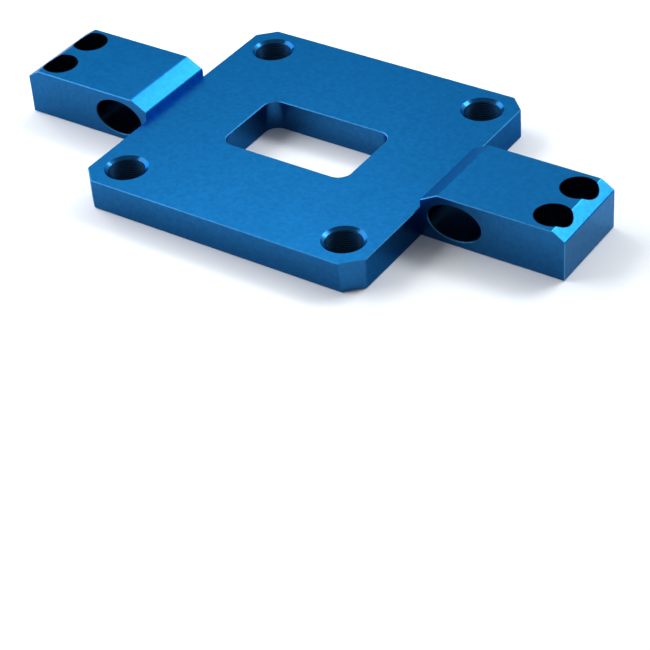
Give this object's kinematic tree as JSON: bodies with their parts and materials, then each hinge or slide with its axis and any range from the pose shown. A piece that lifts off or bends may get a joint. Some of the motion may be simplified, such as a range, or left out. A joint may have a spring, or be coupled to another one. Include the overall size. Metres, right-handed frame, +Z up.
{
  "type": "machined aluminium mounting plate",
  "caption": "Square mounting plate milled from one block, with a centre window, corner screw holes and a drilled arm on each side.",
  "frame": {"origin": "centre of the plate's underside", "axes": "+X along the two arms, +Y across them, +Z up through the plate's thickness"},
  "size_m": [0.1168, 0.06, 0.0095],
  "materials": {
    "anodised_aluminium": "bead-blasted, blue anodised, satin"
  },
  "bodies": {
    "root": {"mounting_plate": "anodised_aluminium"}
  },
  "joints": []
}
